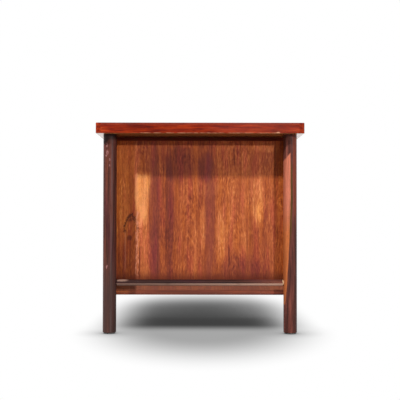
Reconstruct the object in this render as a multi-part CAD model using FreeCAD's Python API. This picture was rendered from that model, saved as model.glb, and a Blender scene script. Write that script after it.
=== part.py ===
"""Executive desk in dark hardwood.

A lipped top stands on four turned legs. At each end a thin stretcher joins the two legs, and behind them a
drawer pedestal hangs under the top: three drawers on the left, one drawer over a file drawer on the right.
A modesty panel closes the kneehole on the visitor's side.

Millimetres. X runs along the desk, the user sits at -Y, Z is up, and the origin is on the floor under the
middle of the top. Left and right are the user's.
"""
import FreeCAD
import Part
import os

Vector = FreeCAD.Vector

# Whole desk
desk_length = 1800.0
desk_depth = 740.0
desk_height = 750.0

# Clearances
glue_gap = 0.1
slide_gap = 0.3

# Top: a core with a solid lipping on each edge
top_thickness = 38.0
lipping_width = 18.0
tongue_height = 10.0
tongue_depth = 8.0
top_corner_round = 4.0
top_upper_bevel = 1.5
top_lower_bevel = 1.2

# Legs and their glides
leg_diameter = 48.0
leg_overhang = 22.5
leg_foot_bevel = 2.0
leg_tenon_diameter = 30.0
leg_tenon_length = 24.0
glide_diameter = 34.0
glide_thickness = 3.0
glide_bevel = 1.0

# Stretchers
stretcher_diameter = 22.0
stretcher_height = 181.0
stretcher_shoulder_bevel = 3.0
stretcher_tenon_diameter = 15.0
stretcher_tenon_length = 26.0

# Turned spacers between legs and pedestals
spacer_diameter = 27.0
spacer_margin = 80.0

# Pedestals
pedestal_setback = 90.0
pedestal_overhang = 28.0
pedestal_width = 430.0
pedestal_clearance = 133.0
shadow_gap = 18.0
side_thickness = 19.0
base_thickness = 16.0
cap_thickness = 19.0
cap_housing = 6.0
back_thickness = 12.0
back_rebate = 10.0
board_bevel = 0.8
foot_tongue_width = 8.0
foot_tongue_depth = 8.0
foot_tongue_setback = 24.0

# Battens in the shadow gap
batten_width = 45.0
batten_setback = 62.0
batten_end_setback = 27.0

# Drawer runners, let into the pedestal sides
runner_height = 12.0
runner_housing = 4.0
runner_reach = 8.0
runner_end_gap = 1.0
runner_front_setback = 25.0
runner_overrun = 20.0
runner_stop_gap = 0.5

# Drawers: the unit is a third of the pedestal's inside height
front_thickness = 20.0
front_gap = 2.5
front_bevel = 0.8
units_per_pedestal = 3
box_rear_clearance = 52.0
box_side_thickness = 13.0
box_back_thickness = 12.0
box_below = 6.0
box_under_top = 22.0
bottom_thickness = 6.0
bottom_groove = 6.0
bottom_lift = 8.0
front_lap = 8.0
tail_pitch = 42.0
tail_slope = 1.0 / 7.0
pin_width = 12.0

# Lip pulls
pull_length = 150.0
pull_depth = 24.0
pull_height = 22.0
pull_web = 8.0
pull_lip = 6.0
pull_rake = 7.0
pull_nose_round = 9.0
pull_inner_round = 5.0
pull_edge_round = 2.0
pull_drop = 55.0
pull_tongue_length = 110.0
pull_tongue_height = 5.0
pull_tongue_depth = 9.0

# Modesty panel
modesty_thickness = 19.0
modesty_height = 380.0
modesty_setback = 60.0
cleat_size = 22.0
cleat_margin = 30.0

# Levels and positions that follow from the sizes above
underside = desk_height - top_thickness
leg_x = desk_length / 2 - leg_overhang - leg_diameter / 2
leg_y = desk_depth / 2 - leg_overhang - leg_diameter / 2
leg_inner_face_x = leg_x - leg_diameter / 2
leg_inner_face_y = leg_y - leg_diameter / 2
outer_face_x = desk_length / 2 - pedestal_setback
inner_face_x = outer_face_x - pedestal_width
pedestal_front = pedestal_overhang - desk_depth / 2
pedestal_back = desk_depth / 2 - pedestal_overhang
pedestal_top = underside - shadow_gap
base_top = pedestal_clearance + base_thickness
cap_bottom = pedestal_top - cap_thickness
back_inside = pedestal_back - back_thickness
front_rear = pedestal_front + front_thickness
box_rear = back_inside - box_rear_clearance
box_back_front = box_rear - box_back_thickness
runner_front = front_rear + runner_front_setback
runner_rear = box_rear + runner_overrun
groove_depth = runner_reach - front_gap + runner_end_gap
tail_in_front = front_thickness - front_lap
front_unit = (cap_bottom - base_top - front_gap * (units_per_pedestal + 1)) / units_per_pedestal
spacer_heights = (base_top + spacer_margin, pedestal_top - spacer_margin)
modesty_back = pedestal_back - modesty_setback
modesty_front = modesty_back - modesty_thickness
modesty_bottom = pedestal_top - modesty_height

corners = {
    "user_left": (-1, -1),
    "user_right": (1, -1),
    "visitor_left": (-1, 1),
    "visitor_right": (1, 1),
}
hands = {"left": -1, "right": 1}
drawer_units = {
    "left": (("upper", 1), ("middle", 1), ("lower", 1)),
    "right": (("upper", 1), ("file", 2)),
}


def block(x, y, z):
    """Box between two values on each axis, given in either order."""
    low = Vector(min(x), min(y), min(z))
    return Part.makeBox(max(x) - min(x), max(y) - min(y), max(z) - min(z), low)


def rod(start, end, diameter):
    """Round bar from one point to another."""
    along = end - start
    return Part.makeCylinder(diameter / 2, along.Length, start, along)


def prism(points, along):
    """Straight body on a flat outline of points."""
    outline = Part.makePolygon(points + points[:1])
    return Part.Face(outline).extrude(along)


def edges_on(shape, axis, value):
    """Edges that lie in the plane where the axis has the value."""
    def level(edge):
        return all(abs(getattr(v.Point, axis) - value) < 1e-6 for v in edge.Vertexes)
    return [edge for edge in shape.Edges if level(edge)]


def edges_along_z(shape):
    """Upright straight edges."""
    def upright(edge):
        low, high = edge.Vertexes[0].Point, edge.Vertexes[-1].Point
        return abs(low.x - high.x) + abs(low.y - high.y) < 1e-6
    return [edge for edge in shape.Edges if upright(edge)]


def fused(shapes):
    """One clean solid of pieces that touch."""
    first, *rest = shapes
    return first.multiFuse(rest).removeSplitter()


def top_slab():
    """Whole outline of the top, before it is parted into core and lippings."""
    x, y = desk_length / 2, desk_depth / 2
    slab = block((-x, x), (-y, y), (underside, desk_height))
    slab = slab.makeFillet(top_corner_round, edges_along_z(slab))
    slab = slab.makeChamfer(top_upper_bevel, edges_on(slab, "z", desk_height))
    return slab.makeChamfer(top_lower_bevel, edges_on(slab, "z", underside))


def tongue_heights(gap=0.0):
    """Lower and upper level of the tongues, at half the top's thickness."""
    middle = (underside + desk_height) / 2
    return middle - tongue_height / 2 - gap, middle + tongue_height / 2 + gap


def top_panel():
    """Core of the top, grooved all round and bored for the leg tenons."""
    x, y = desk_length / 2 - lipping_width, desk_depth / 2 - lipping_width
    core = block((-x, x), (-y, y), (underside, desk_height))
    depth = tongue_depth + glue_gap
    rim = block((-x, x), (-y, y), tongue_heights(glue_gap))
    inside = block((depth - x, x - depth), (depth - y, y - depth), tongue_heights(glue_gap))
    core = core.cut(rim.cut(inside))
    bores = []
    for side_x, side_y in corners.values():
        foot = Vector(side_x * leg_x, side_y * leg_y, underside)
        head = foot + Vector(0, 0, leg_tenon_length + glue_gap)
        bores.append(rod(foot, head, leg_tenon_diameter + 2 * glue_gap))
    return core.cut(bores)


def long_lipping(side_y):
    """Full-length lipping on the user's or the visitor's edge."""
    x = desk_length / 2
    outer = side_y * desk_depth / 2
    inner = outer - side_y * lipping_width
    strip = top_slab().common(block((-x, x), (outer, inner), (underside, desk_height)))
    reach = (inner, inner - side_y * tongue_depth)
    tongue = block((lipping_width - x, x - lipping_width), reach, tongue_heights())
    return fused([strip, tongue])


def end_lipping(side_x):
    """Lipping across an end, butted between the long ones."""
    y = desk_depth / 2 - lipping_width
    outer = side_x * desk_length / 2
    inner = outer - side_x * lipping_width
    strip = top_slab().common(block((outer, inner), (-y, y), (underside, desk_height)))
    reach = (inner, inner - side_x * tongue_depth)
    tongue_y = y - tongue_depth - glue_gap
    return fused([strip, block(reach, (-tongue_y, tongue_y), tongue_heights())])


def leg(side_x, side_y):
    """Turned leg with a round tenon for the top and a mortise for its stretcher."""
    foot = Vector(side_x * leg_x, side_y * leg_y, glide_thickness)
    shoulder = Vector(foot.x, foot.y, underside)
    shaft = rod(foot, shoulder, leg_diameter)
    shaft = shaft.makeChamfer(leg_foot_bevel, edges_on(shaft, "z", glide_thickness))
    tenon = rod(shoulder, shoulder + Vector(0, 0, leg_tenon_length), leg_tenon_diameter)
    mouth = Vector(foot.x, side_y * leg_inner_face_y, stretcher_height)
    depth = Vector(0, side_y * (stretcher_tenon_length + glue_gap), 0)
    mortise = rod(mouth, mouth + depth, stretcher_tenon_diameter + 2 * glue_gap)
    return fused([shaft, tenon]).cut(mortise)


def stretcher(side_x):
    """Turned rod between the two legs of one end, necked down to a tenon at each end."""
    x = side_x * leg_x
    left = Vector(x, -leg_inner_face_y, stretcher_height)
    right = Vector(x, leg_inner_face_y, stretcher_height)
    tenon = Vector(0, stretcher_tenon_length, 0)
    shaft = rod(left, right, stretcher_diameter)
    shoulders = edges_on(shaft, "y", left.y) + edges_on(shaft, "y", right.y)
    shaft = shaft.makeChamfer(stretcher_shoulder_bevel, shoulders)
    return fused([shaft, rod(left - tenon, right + tenon, stretcher_tenon_diameter)])


def leg_glides():
    """Steel glide under each leg."""
    glides = []
    for side_x, side_y in corners.values():
        floor = Vector(side_x * leg_x, side_y * leg_y, 0)
        disc = rod(floor, floor + Vector(0, 0, glide_thickness), glide_diameter)
        glides.append(disc.makeChamfer(glide_bevel, edges_on(disc, "z", 0)))
    return glides


def leg_spacers():
    """Turned spacers that tie the legs to the pedestals, coped to the round of the leg."""
    spacers = []
    for side_x, side_y in corners.values():
        foot = Vector(side_x * leg_x, side_y * leg_y, 0)
        round_of_leg = rod(foot, foot + Vector(0, 0, underside), leg_diameter + 2 * glue_gap)
        for height in spacer_heights:
            start = foot + Vector(0, 0, height)
            end = Vector(side_x * outer_face_x, start.y, height)
            spacers.append(rod(start, end, spacer_diameter).cut(round_of_leg))
    return spacers


def inside_faces(hand):
    """Inner faces of a pedestal's outer and inner side, as X values."""
    return hand * (outer_face_x - side_thickness), hand * (inner_face_x + side_thickness)


def pedestal_side(side, outer):
    """Upright side of a pedestal with its rebates, runner housings and a tongue along its foot."""
    hand = hands[side]
    face = hand * (outer_face_x if outer else inner_face_x)
    inside = inside_faces(hand)[0 if outer else 1]
    into = 1 if face > inside else -1
    board = block((face, inside), (pedestal_front, pedestal_back), (base_top, pedestal_top))
    board = board.makeChamfer(board_bevel, edges_on(board, "y", pedestal_front))
    board = board.makeChamfer(board_bevel, edges_on(board, "y", pedestal_back))
    back_x = (inside, inside + into * back_rebate)
    cap_x = (inside, inside + into * cap_housing)
    cuts = [
        block(back_x, (back_inside, pedestal_back), (base_top, pedestal_top)),
        block(cap_x, (pedestal_front, back_inside), (cap_bottom, pedestal_top)),
    ]
    for heights in runner_levels(side):
        housing_x = (inside, inside + into * runner_housing)
        cuts.append(block(housing_x, (runner_front, runner_rear), heights))
    return fused([board.cut(cuts), foot_tongue((face + inside) / 2)])


def foot_tongue(middle, gap=0.0):
    """Tongue under a pedestal side, or with a gap the groove for it in the base board."""
    x = (middle - foot_tongue_width / 2 - gap, middle + foot_tongue_width / 2 + gap)
    y = (pedestal_front + foot_tongue_setback - gap, pedestal_back - foot_tongue_setback + gap)
    return block(x, y, (base_top - foot_tongue_depth - gap, base_top))


def base_board(hand):
    """Board under a pedestal, with an eased edge all round and grooves for the two sides."""
    x = (hand * outer_face_x, hand * inner_face_x)
    board = block(x, (pedestal_front, pedestal_back), (pedestal_clearance, base_top))
    board = board.makeChamfer(board_bevel, board.Edges)
    middles = (hand * (outer_face_x - side_thickness / 2), hand * (inner_face_x + side_thickness / 2))
    return board.cut([foot_tongue(middle, glue_gap) for middle in middles])


def cap_board(hand):
    """Board over the drawers, housed in both sides."""
    first, second = inside_faces(hand)
    x = (first + hand * cap_housing, second - hand * cap_housing)
    board = block(x, (pedestal_front, back_inside), (cap_bottom, pedestal_top))
    return board.makeChamfer(board_bevel, edges_on(board, "y", pedestal_front))


def back_panel(hand):
    """Finished panel in the rebates on the visitor's side of a pedestal."""
    first, second = inside_faces(hand)
    x = (first + hand * back_rebate, second - hand * back_rebate)
    return block(x, (back_inside, pedestal_back), (base_top, pedestal_top))


def battens(hand):
    """Two dark battens that hold a pedestal clear of the top."""
    y = (pedestal_front + batten_end_setback, pedestal_back - batten_end_setback)
    strips = []
    for face, into in ((outer_face_x, -1), (inner_face_x, 1)):
        edge = face + into * batten_setback
        x = (hand * edge, hand * (edge + into * batten_width))
        strips.append(block(x, y, (pedestal_top, underside)))
    return strips


def drawer_levels(side):
    """Name, lower and upper level of each drawer front of a pedestal, from the top down."""
    levels = []
    high = cap_bottom - front_gap
    for name, units in drawer_units[side]:
        low = high - front_unit * units - front_gap * (units - 1)
        levels.append((name, low, high))
        high = low - front_gap
    return levels


def box_levels(low, high):
    """Lower and upper edge of the box sides behind a front."""
    return low + box_below, high - box_under_top


def runner_levels(side):
    """Lower and upper face of each runner, at half the height of its drawer's box."""
    levels = []
    for _, low, high in drawer_levels(side):
        middle = sum(box_levels(low, high)) / 2
        levels.append((middle - runner_height / 2, middle + runner_height / 2))
    return levels


def runners(side):
    """Hardwood runners on both sides of every drawer in a pedestal."""
    strips = []
    first, second = inside_faces(hands[side])
    into = hands[side]
    for heights in runner_levels(side):
        for inside, out in ((first, into), (second, -into)):
            x = (inside + out * runner_housing, inside - out * runner_reach)
            strips.append(block(x, (runner_front, runner_rear), heights))
    return strips


def tails(x, root_y, end_y, heights, gap=0.0):
    """Dovetails across a board's thickness from the shoulder line, or with a gap their sockets."""
    low, high = heights
    count = max(2, round((high - low) / tail_pitch))
    pitch = (high - low) / count
    root = (pitch - pin_width) / 2 + gap
    end = root + abs(end_y - root_y) * tail_slope
    across = Vector(max(x) - min(x), 0, 0)
    shapes = []
    for i in range(count):
        middle = low + pitch * (i + 0.5)
        outline = [
            Vector(min(x), root_y, middle - root),
            Vector(min(x), end_y, middle - end),
            Vector(min(x), end_y, middle + end),
            Vector(min(x), root_y, middle + root),
        ]
        shapes.append(prism(outline, across))
    return shapes


class Drawer:
    """Sizes of one drawer and the boards it is made of."""

    def __init__(self, side, low, high):
        faces = inside_faces(hands[side])
        self.low = low
        self.high = high
        self.x = (min(faces) + front_gap, max(faces) - front_gap)
        self.box = box_levels(low, high)
        self.bottom = (self.box[0] + bottom_lift, self.box[0] + bottom_lift + bottom_thickness)
        self.back = (self.bottom[1], self.box[1])
        self.middle = sum(self.x) / 2
        self.pull_top = high - pull_drop

    def side_ranges(self):
        """X range of the two box sides, each from its outer face inwards."""
        left, right = self.x
        return (left, left + box_side_thickness), (right, right - box_side_thickness)

    def runner_grooves(self):
        """Grooves in the outer faces that ride on the runners, open at the rear."""
        middle = sum(self.box) / 2
        heights = (middle - runner_height / 2 - slide_gap, middle + runner_height / 2 + slide_gap)
        y = (runner_front - runner_stop_gap, box_rear)
        grooves = []
        for outer, inner in self.side_ranges():
            into = 1 if inner > outer else -1
            grooves.append(block((outer, outer + into * groove_depth), y, heights))
        return grooves

    def bottom_space(self, gap=0.0):
        """The bottom board, or with a gap the groove that takes it."""
        inset = box_side_thickness - bottom_groove - gap
        x = (self.x[0] + inset, self.x[1] - inset)
        heights = (self.bottom[0] - gap, self.bottom[1] + gap)
        return block(x, (front_rear - bottom_groove - gap, box_rear), heights)

    def pull_tongue(self, gap=0.0):
        """Tongue behind the pull, or with a gap the slot for it in the front."""
        x = (self.middle - pull_tongue_length / 2 - gap, self.middle + pull_tongue_length / 2 + gap)
        height = self.pull_top - pull_web / 2
        z = (height - pull_tongue_height / 2 - gap, height + pull_tongue_height / 2 + gap)
        return block(x, (pedestal_front, pedestal_front + pull_tongue_depth + gap), z)

    def front(self):
        """Front board with half-blind sockets, a groove for the bottom and a slot for the pull."""
        board = block(self.x, (pedestal_front, front_rear), (self.low, self.high))
        board = board.makeChamfer(front_bevel, edges_on(board, "y", pedestal_front))
        cuts = [self.bottom_space(glue_gap), self.pull_tongue(glue_gap)]
        socket_end = front_rear - tail_in_front - glue_gap
        for x in self.side_ranges():
            cuts += tails(self.socket(x), front_rear, socket_end, self.box, glue_gap)
        return board.cut(cuts)

    def socket(self, x):
        """A side's X range with the glue gap behind its inner face."""
        outer, inner = x
        return outer, inner + (glue_gap if inner > outer else -glue_gap)

    def sides(self):
        """Two side boards with tails at both ends, grooved for the runner and the bottom."""
        boards = []
        for x in self.side_ranges():
            body = block(x, (front_rear, box_back_front), self.box)
            heel = block(x, (box_back_front, box_rear), (self.box[0], self.back[0]))
            front_tails = tails(x, front_rear, front_rear - tail_in_front, self.box)
            back_tails = tails(x, box_back_front, box_rear, self.back)
            board = fused([body, heel] + front_tails + back_tails)
            boards.append(board.cut(self.runner_grooves() + [self.bottom_space(glue_gap)]))
        return boards

    def rear(self):
        """Back board above the bottom, with through sockets for the sides' tails."""
        board = block(self.x, (box_back_front, box_rear), self.back)
        cuts = self.runner_grooves()
        for x in self.side_ranges():
            cuts += tails(self.socket(x), box_back_front, box_rear, self.back, glue_gap)
        return board.cut(cuts)

    def pull(self):
        """Lip pull: a channel section along the front, raked at both ends, with a tongue behind."""
        start = Vector(self.middle - pull_length / 2, pedestal_front, self.pull_top)
        bar = pull_section(start).extrude(Vector(pull_length, 0, 0))
        back = pull_length / 2
        nose = back - pull_rake
        plan = [
            Vector(self.middle - back, pedestal_front, self.pull_top),
            Vector(self.middle - nose, pedestal_front - pull_depth, self.pull_top),
            Vector(self.middle + nose, pedestal_front - pull_depth, self.pull_top),
            Vector(self.middle + back, pedestal_front, self.pull_top),
        ]
        return fused([bar.common(prism(plan, Vector(0, 0, -pull_height))), self.pull_tongue()])


def pull_section(start):
    """Section of a pull: a flat web with a rounded nose and a lip turned down in front."""
    nose, inner, edge = pull_nose_round, pull_inner_round, pull_edge_round
    front, lip = pull_depth, pull_depth - pull_lip
    bend = 0.5 ** 0.5

    def at(out, up):
        return start + Vector(0, -out, up)

    def arc(first, middle, last):
        return Part.Arc(first, middle, last).toShape()

    nose_first = at(front - nose, 0)
    nose_middle = at(front - nose + nose * bend, nose * bend - nose)
    nose_last = at(front, -nose)
    edge_first = at(front, edge - pull_height)
    edge_middle = at(front - edge + edge * bend, edge - edge * bend - pull_height)
    edge_last = at(front - edge, -pull_height)
    lip_foot = at(lip, -pull_height)
    hollow_first = at(lip, -pull_web - inner)
    hollow_middle = at(lip - inner + inner * bend, inner * bend - inner - pull_web)
    hollow_last = at(lip - inner, -pull_web)
    edges = [
        Part.makeLine(at(0, 0), nose_first),
        arc(nose_first, nose_middle, nose_last),
        Part.makeLine(nose_last, edge_first),
        arc(edge_first, edge_middle, edge_last),
        Part.makeLine(edge_last, lip_foot),
        Part.makeLine(lip_foot, hollow_first),
        arc(hollow_first, hollow_middle, hollow_last),
        Part.makeLine(hollow_last, at(0, -pull_web)),
        Part.makeLine(at(0, -pull_web), at(0, 0)),
    ]
    return Part.Face(Part.Wire(edges))


def modesty_panel():
    """Panel across the kneehole on the visitor's side."""
    x = (-inner_face_x, inner_face_x)
    panel = block(x, (modesty_front, modesty_back), (modesty_bottom, pedestal_top))
    return panel.makeChamfer(board_bevel, edges_on(panel, "z", modesty_bottom))


def modesty_cleats():
    """Square cleats in the corners between modesty panel and pedestals."""
    cleats = []
    for hand in hands.values():
        x = (hand * inner_face_x, hand * (inner_face_x - cleat_size))
        y = (modesty_front - cleat_size, modesty_front)
        heights = (modesty_bottom + cleat_margin, pedestal_top - cleat_margin)
        cleats.append(block(x, y, heights))
    return cleats


def desk_nodes():
    """Every named piece of the desk, as a list of solids."""
    nodes = {
        "top_panel": [top_panel()],
        "top_lipping_user": [long_lipping(-1)],
        "top_lipping_visitor": [long_lipping(1)],
        "top_lipping_left": [end_lipping(-1)],
        "top_lipping_right": [end_lipping(1)],
        "leg_glides": leg_glides(),
        "leg_spacers": leg_spacers(),
        "modesty_panel": [modesty_panel()],
        "modesty_cleats": modesty_cleats(),
    }
    for name, (side_x, side_y) in corners.items():
        nodes["leg_" + name] = [leg(side_x, side_y)]
    for side, hand in hands.items():
        nodes["stretcher_" + side] = [stretcher(hand)]
        nodes[side + "_outer_side"] = [pedestal_side(side, True)]
        nodes[side + "_inner_side"] = [pedestal_side(side, False)]
        nodes[side + "_base_board"] = [base_board(hand)]
        nodes[side + "_cap_board"] = [cap_board(hand)]
        nodes[side + "_back_panel"] = [back_panel(hand)]
        nodes[side + "_battens"] = battens(hand)
        nodes[side + "_runners"] = runners(side)
        for name, low, high in drawer_levels(side):
            nodes.update(drawer_nodes(side, name, low, high))
    return nodes


def drawer_nodes(side, name, low, high):
    """Named pieces of one drawer."""
    drawer = Drawer(side, low, high)
    prefix = side + "_" + name + "_drawer_"
    return {
        prefix + "front": [drawer.front()],
        prefix + "sides": drawer.sides(),
        prefix + "back": [drawer.rear()],
        prefix + "bottom": [drawer.bottom_space()],
        prefix + "pull": [drawer.pull()],
    }


os.makedirs("parts", exist_ok=True)
for node, solids in desk_nodes().items():
    Part.makeCompound(solids).exportStep("parts/" + node + ".step")
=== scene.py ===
import math
from functools import cached_property

import bmesh
import bpy
from bpy.props import FloatProperty, FloatVectorProperty, PointerProperty
from mathutils import Color, Matrix, Vector


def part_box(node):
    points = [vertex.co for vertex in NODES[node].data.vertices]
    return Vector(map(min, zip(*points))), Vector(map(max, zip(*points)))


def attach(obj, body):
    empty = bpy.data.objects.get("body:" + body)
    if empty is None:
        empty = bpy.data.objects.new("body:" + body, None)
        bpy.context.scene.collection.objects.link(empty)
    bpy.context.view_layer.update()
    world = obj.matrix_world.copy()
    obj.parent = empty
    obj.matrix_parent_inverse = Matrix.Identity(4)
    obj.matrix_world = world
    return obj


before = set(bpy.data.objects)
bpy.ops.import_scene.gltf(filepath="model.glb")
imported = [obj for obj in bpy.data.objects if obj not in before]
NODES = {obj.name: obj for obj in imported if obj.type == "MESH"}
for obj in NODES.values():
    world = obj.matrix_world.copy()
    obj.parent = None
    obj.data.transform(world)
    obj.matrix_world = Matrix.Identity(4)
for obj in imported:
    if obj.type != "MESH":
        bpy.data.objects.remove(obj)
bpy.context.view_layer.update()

bl_info = {
    "name": "Rosewood Executive Desk",
    "version": (1, 0, 0),
    "blender": (4, 5, 0),
    "location": "View3D > Sidebar > Desk",
    "description": "Finishes, screws and studio for a twin-pedestal rosewood desk",
    "category": "Object",
}

AXIS = {"X": 0, "Y": 1, "Z": 2}
PLY_LAYERS = 5
DRAWERS = ("left_upper_drawer", "left_middle_drawer", "left_lower_drawer", "right_upper_drawer",
           "right_file_drawer")
MM = 0.001
# Casts that drift over rosewood, as factors on its colour
ROSE = (1.03, 0.88, 1.12, 1.0)
GOLD = (1.03, 1.00, 0.82, 1.0)
# Places of the five wood colours between the deepest tone and the palest
RAMP_STOPS = (0.05, 0.28, 0.5, 0.72, 0.97)
# Specular level of lacquer, of the worn lacquer on the lippings and of bare wood
LACQUER_GLOSS = 0.12
LIPPING_GLOSS = 0.06
BARE_GLOSS = 0.3
# Roughness of lacquer, what open pores and the rubbed upper face add to it, and that of the sealed underside
LACQUER_ROUGHNESS = 0.36
PORE_ROUGHNESS = 0.16
RUBBED_ROUGHNESS = 0.18
SEALED_ROUGHNESS = 0.05
# Strength of the bump that open grain makes
GRAIN_RELIEF = 0.35


# Sizes and colours

def colour(name, description, red, green, blue):
    """A screen colour property, its default given from 0 to 255."""
    return FloatVectorProperty(name=name, description=description, subtype="COLOR_GAMMA", size=3, min=0.0,
                               max=1.0, default=(red / 255, green / 255, blue / 255))


def length(name, description, default):
    """A length property in metres."""
    return FloatProperty(name=name, description=description, unit="LENGTH", min=0.0, default=default)


def share(name, description, default):
    """A plain factor property."""
    return FloatProperty(name=name, description=description, subtype="FACTOR", min=0.0, max=4.0,
                         default=default)


def angle(name, description, degrees):
    """An angle property, its default given in degrees."""
    return FloatProperty(name=name, description=description, subtype="ANGLE", default=math.radians(degrees))


def direction(name, description, default):
    """A direction property, from the desk outwards."""
    return FloatVectorProperty(name=name, description=description, subtype="DIRECTION", size=3,
                               default=default)


class PanelTones(bpy.types.PropertyGroup):
    """Colours of the veneered boards"""
    pale: colour("Pale", "Lightest honey streaks", 242, 157, 95)
    light: colour("Light", "Orange-brown wood", 204, 114, 64)
    middle: colour("Middle", "Main brown", 171, 86, 49)
    dark: colour("Dark", "Brown bands", 134, 62, 40)
    deep: colour("Deep", "Darkest bands", 86, 35, 24)
    line: colour("Line", "Thin pigment lines and pores", 54, 24, 18)
    plum: colour("Plum", "Purple cast of the dark bands", 130, 62, 56)
    split: colour("Split", "Pale wood along a split", 218, 138, 104)
    rubbed: colour("Rubbed", "Greyish wood along the foot of an end", 172, 114, 94)
    # A warm tint painted on the parts of an end that lie in the legs' shadows
    leg_shadow_tint: colour("Honey", "Warm cast at the front and back edges of an end", 255, 246, 214)


class TopTones(bpy.types.PropertyGroup):
    """Colours of the top and its lippings"""
    pale: colour("Pale", "Lightest streaks", 206, 84, 38)
    light: colour("Light", "Orange-red wood", 172, 57, 22)
    middle: colour("Middle", "Main red-brown", 146, 42, 18)
    dark: colour("Dark", "Dark red bands", 112, 28, 18)
    deep: colour("Deep", "Darkest bands", 74, 20, 16)
    line: colour("Line", "Thin pigment lines and pores", 44, 14, 12)
    faded: colour("Faded", "Faded red of one end", 158, 82, 68)
    # Also the painted highlight along the lower arris of the red end lipping
    bare_wood_and_highlight: colour("Bare wood", "Wood showing through at worn arrises", 228, 168, 130)
    under: colour("Underside", "Unstained wood under the top", 255, 172, 92)
    brown: colour("Brown", "Brown cast over the wide upper face", 124, 72, 46)


class TurnedTones(bpy.types.PropertyGroup):
    """Colours of the legs, stretchers, spacers and pulls"""
    pale: colour("Pale", "Lightest streaks", 150, 86, 72)
    light: colour("Light", "Mauve-brown wood", 116, 63, 53)
    middle: colour("Middle", "Main purple-brown", 92, 50, 43)
    dark: colour("Dark", "Dark bands", 68, 37, 32)
    deep: colour("Deep", "Darkest bands", 44, 24, 22)
    line: colour("Line", "Thin pigment lines and pores", 30, 18, 17)
    # Pinker upper sapwood, which carries a painted highlight of the main lamp
    sapwood: colour("Sapwood", "Pale outer wood of one leg", 194, 112, 86)
    sapwood_low: colour("Sapwood, low", "The same wood near the foot", 184, 102, 56)
    olive: colour("Olive", "Dark line beside the sapwood", 92, 68, 20)
    # A painted sheen streak down one leg
    painted_sheen: colour("Grey", "Greyish streaks", 112, 92, 88)
    foot: colour("Foot", "Dull wood near a foot", 72, 54, 50)
    russet: colour("Russet", "Redder wood beside the sapwood", 148, 70, 48)
    knock: colour("Knocks", "Pale wood in old knocks", 180, 124, 120)
    # A painted reflection of the floor and a painted highlight on the stretchers
    rubbed: colour("Rubbed", "Paler wood along the lower half of a stretcher", 240, 192, 168)
    # A painted glint at a stretcher's shoulder
    ring: colour("Shoulder", "Bare wood at a stretcher's shoulder", 240, 206, 160)


class BoxTones(bpy.types.PropertyGroup):
    """Colours of the drawer boxes and runners"""
    pale: colour("Pale", "Lightest hardwood", 222, 190, 148)
    light: colour("Light", "Light hardwood", 206, 170, 126)
    middle: colour("Middle", "Main hardwood", 190, 150, 106)
    dark: colour("Dark", "Darker growth lines", 168, 126, 86)
    deep: colour("Deep", "Darkest growth lines", 142, 104, 70)
    line: colour("Line", "Pores", 112, 80, 54)
    ply: colour("Plywood", "Face veneer of the drawer bottoms", 214, 182, 136)
    ply_dark: colour("Plywood core", "Cross layers seen on the edges", 150, 112, 74)


class FixingTones(bpy.types.PropertyGroup):
    """Colours of the battens, cleats and metal pieces"""
    batten: colour("Batten", "Stained battens in the shadow gap", 150, 52, 22)
    batten_worn: colour("Batten, worn", "Rubbed places on battens and cleats", 146, 80, 52)
    steel: colour("Steel", "Glides and screw heads", 176, 176, 172)
    tarnish: colour("Tarnish", "Dull places on metal", 96, 78, 54)


class GrainSizes(bpy.types.PropertyGroup):
    """Sizes of the figure in the wood"""
    band: length("Band", "Width of the broad bands", 0.034)
    streak: length("Streak", "Width of the streaks within a band", 0.0075)
    fleck: length("Fleck", "Width of the short flecks", 0.0045)
    fleck_length: length("Fleck length", "Length of the short flecks", 0.065)
    hair: length("Hair", "Width of the finest lines", 0.0019)
    pore: length("Pore", "Width of a pore", 0.0007)
    pore_length: length("Pore length", "Length of a pore", 0.011)
    feather: length("Feather", "Width of the strokes that soften a patch", 0.0055)
    feather_length: length("Feather length", "Length of the same strokes", 0.075)
    bump: length("Bump", "Depth of the open grain", 0.0004)


class ScrewSizes(bpy.types.PropertyGroup):
    """Sizes of the slotted screws"""
    head: length("Head", "Diameter of a screw head", 0.0078)
    rise: length("Rise", "Height of a head above the wood", 0.0007)
    slot: length("Slot", "Width of the slot", 0.0011)
    cleat: length("Cleat", "Width of a cleat, whose middle takes the screws", 0.022)
    stagger: length("Stagger", "Height between the screws on two faces of a cleat", 0.024)
    board_edge: length("Board edge", "From the edge of a base board to its screws", 0.0095)
    board_reach: length("Board reach", "From the middle of a base board to its outer screws", 0.27)


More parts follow.
